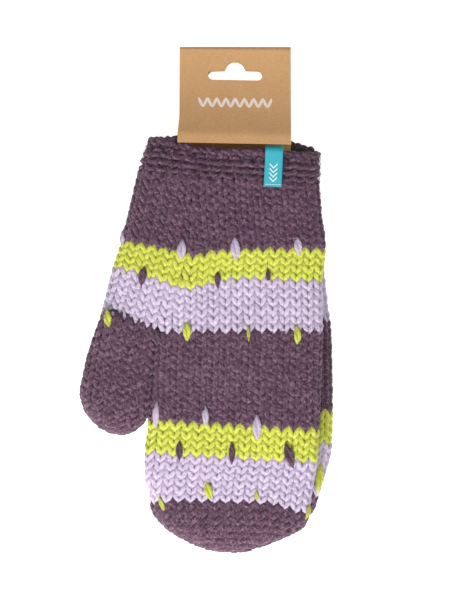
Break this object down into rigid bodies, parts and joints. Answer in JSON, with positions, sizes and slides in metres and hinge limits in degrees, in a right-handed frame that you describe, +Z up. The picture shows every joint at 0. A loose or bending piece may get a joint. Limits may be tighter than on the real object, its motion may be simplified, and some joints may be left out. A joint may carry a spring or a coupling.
{
  "type": "pair of knitted mittens",
  "caption": "Pair of chunky striped knitted mittens with fleece linings, laid flat in a stack under a folded hanging header card.",
  "frame": {"origin": "centre of the footprint of the stacked pair and its card, on the surface that it lies on", "axes": "+Z up out of the pair, +Y from the fingertips toward the cuffs and the card, +X away from the thumbs"},
  "size_m": [0.15, 0.3, 0.0529],
  "materials": {
    "purple_wool": "heathered chunky wool",
    "lime_wool": "chunky wool",
    "lilac_wool": "chunky wool",
    "charcoal_fleece": "brushed fleece",
    "kraft_card": "uncoated kraft",
    "teal_satin": "woven satin tape",
    "white_thread": "sewing thread"
  },
  "bodies": {
    "rear_hand": {"rear_cuff": "purple_wool", "rear_wrist_band": "purple_wool", "rear_wrist_lime_stripe": "lime_wool", "rear_wrist_lilac_stripe": "lilac_wool", "rear_middle_band": "purple_wool", "rear_finger_lime_stripe": "lime_wool", "rear_finger_lilac_stripe": "lilac_wool", "rear_fingertip": "purple_wool", "rear_wrist_lining": "charcoal_fleece", "rear_finger_lining": "charcoal_fleece", "rear_wrist_lilac_accents": "lilac_wool", "rear_wrist_purple_accents": "purple_wool", "rear_palm_lime_accents": "lime_wool", "rear_finger_lilac_accents": "lilac_wool", "rear_finger_purple_accents": "purple_wool", "rear_finger_lime_accents": "lime_wool"},
    "rear_thumb": {"rear_thumb": "purple_wool", "rear_thumb_lining": "charcoal_fleece"},
    "front_hand": {"front_cuff": "purple_wool", "front_wrist_band": "purple_wool", "front_wrist_lime_stripe": "lime_wool", "front_wrist_lilac_stripe": "lilac_wool", "front_palm_band": "purple_wool", "front_wrist_lining": "charcoal_fleece", "front_palm_lining": "charcoal_fleece", "front_wrist_lilac_accents": "lilac_wool", "front_wrist_purple_accents": "purple_wool", "front_palm_lime_accents": "lime_wool", "label": "teal_satin", "label_stitches": "white_thread"},
    "front_fingers": {"front_knuckle_band": "purple_wool", "front_finger_lime_stripe": "lime_wool", "front_finger_lilac_stripe": "lilac_wool", "front_fingertip": "purple_wool", "front_finger_lining": "charcoal_fleece", "front_finger_lilac_accents": "lilac_wool", "front_finger_purple_accents": "purple_wool", "front_finger_lime_accents": "lime_wool"},
    "front_thumb": {"front_thumb": "purple_wool", "front_thumb_lining": "charcoal_fleece"},
    "header_card": {"card_back_leaf": "kraft_card"},
    "card_leaf": {"card_front_leaf": "kraft_card"}
  },
  "joints": [
    {"name": "front_mitten_lift", "type": "slide", "parent": "rear_hand", "child": "front_hand", "axis": [0, 0, 1], "range_m": [0, 0.1]},
    {"name": "rear_thumb_swing", "type": "hinge", "parent": "rear_hand", "child": "rear_thumb", "pos_m": [-0.05823, -0.00739, 0.011], "axis": [0, 0, -1], "range_deg": [0, 25]},
    {"name": "front_thumb_swing", "type": "hinge", "parent": "front_hand", "child": "front_thumb", "pos_m": [-0.06341, -0.00734, 0.0366], "axis": [0, 0, -1], "range_deg": [0, 25]},
    {"name": "front_finger_bend", "type": "hinge", "parent": "front_hand", "child": "front_fingers", "pos_m": [0.01659, -0.05082, 0.0496], "axis": [-0.9994, 0.0356, 0], "range_deg": [0, 45]},
    {"name": "card_slide", "type": "slide", "parent": "front_hand", "child": "header_card", "axis": [0, 1, 0], "range_m": [0, 0.045]},
    {"name": "card_leaf_open", "type": "hinge", "parent": "header_card", "child": "card_leaf", "pos_m": [0.01659, 0.14998, 0.0397], "axis": [-1, 0, 0], "range_deg": [0, 120]}
  ]
}
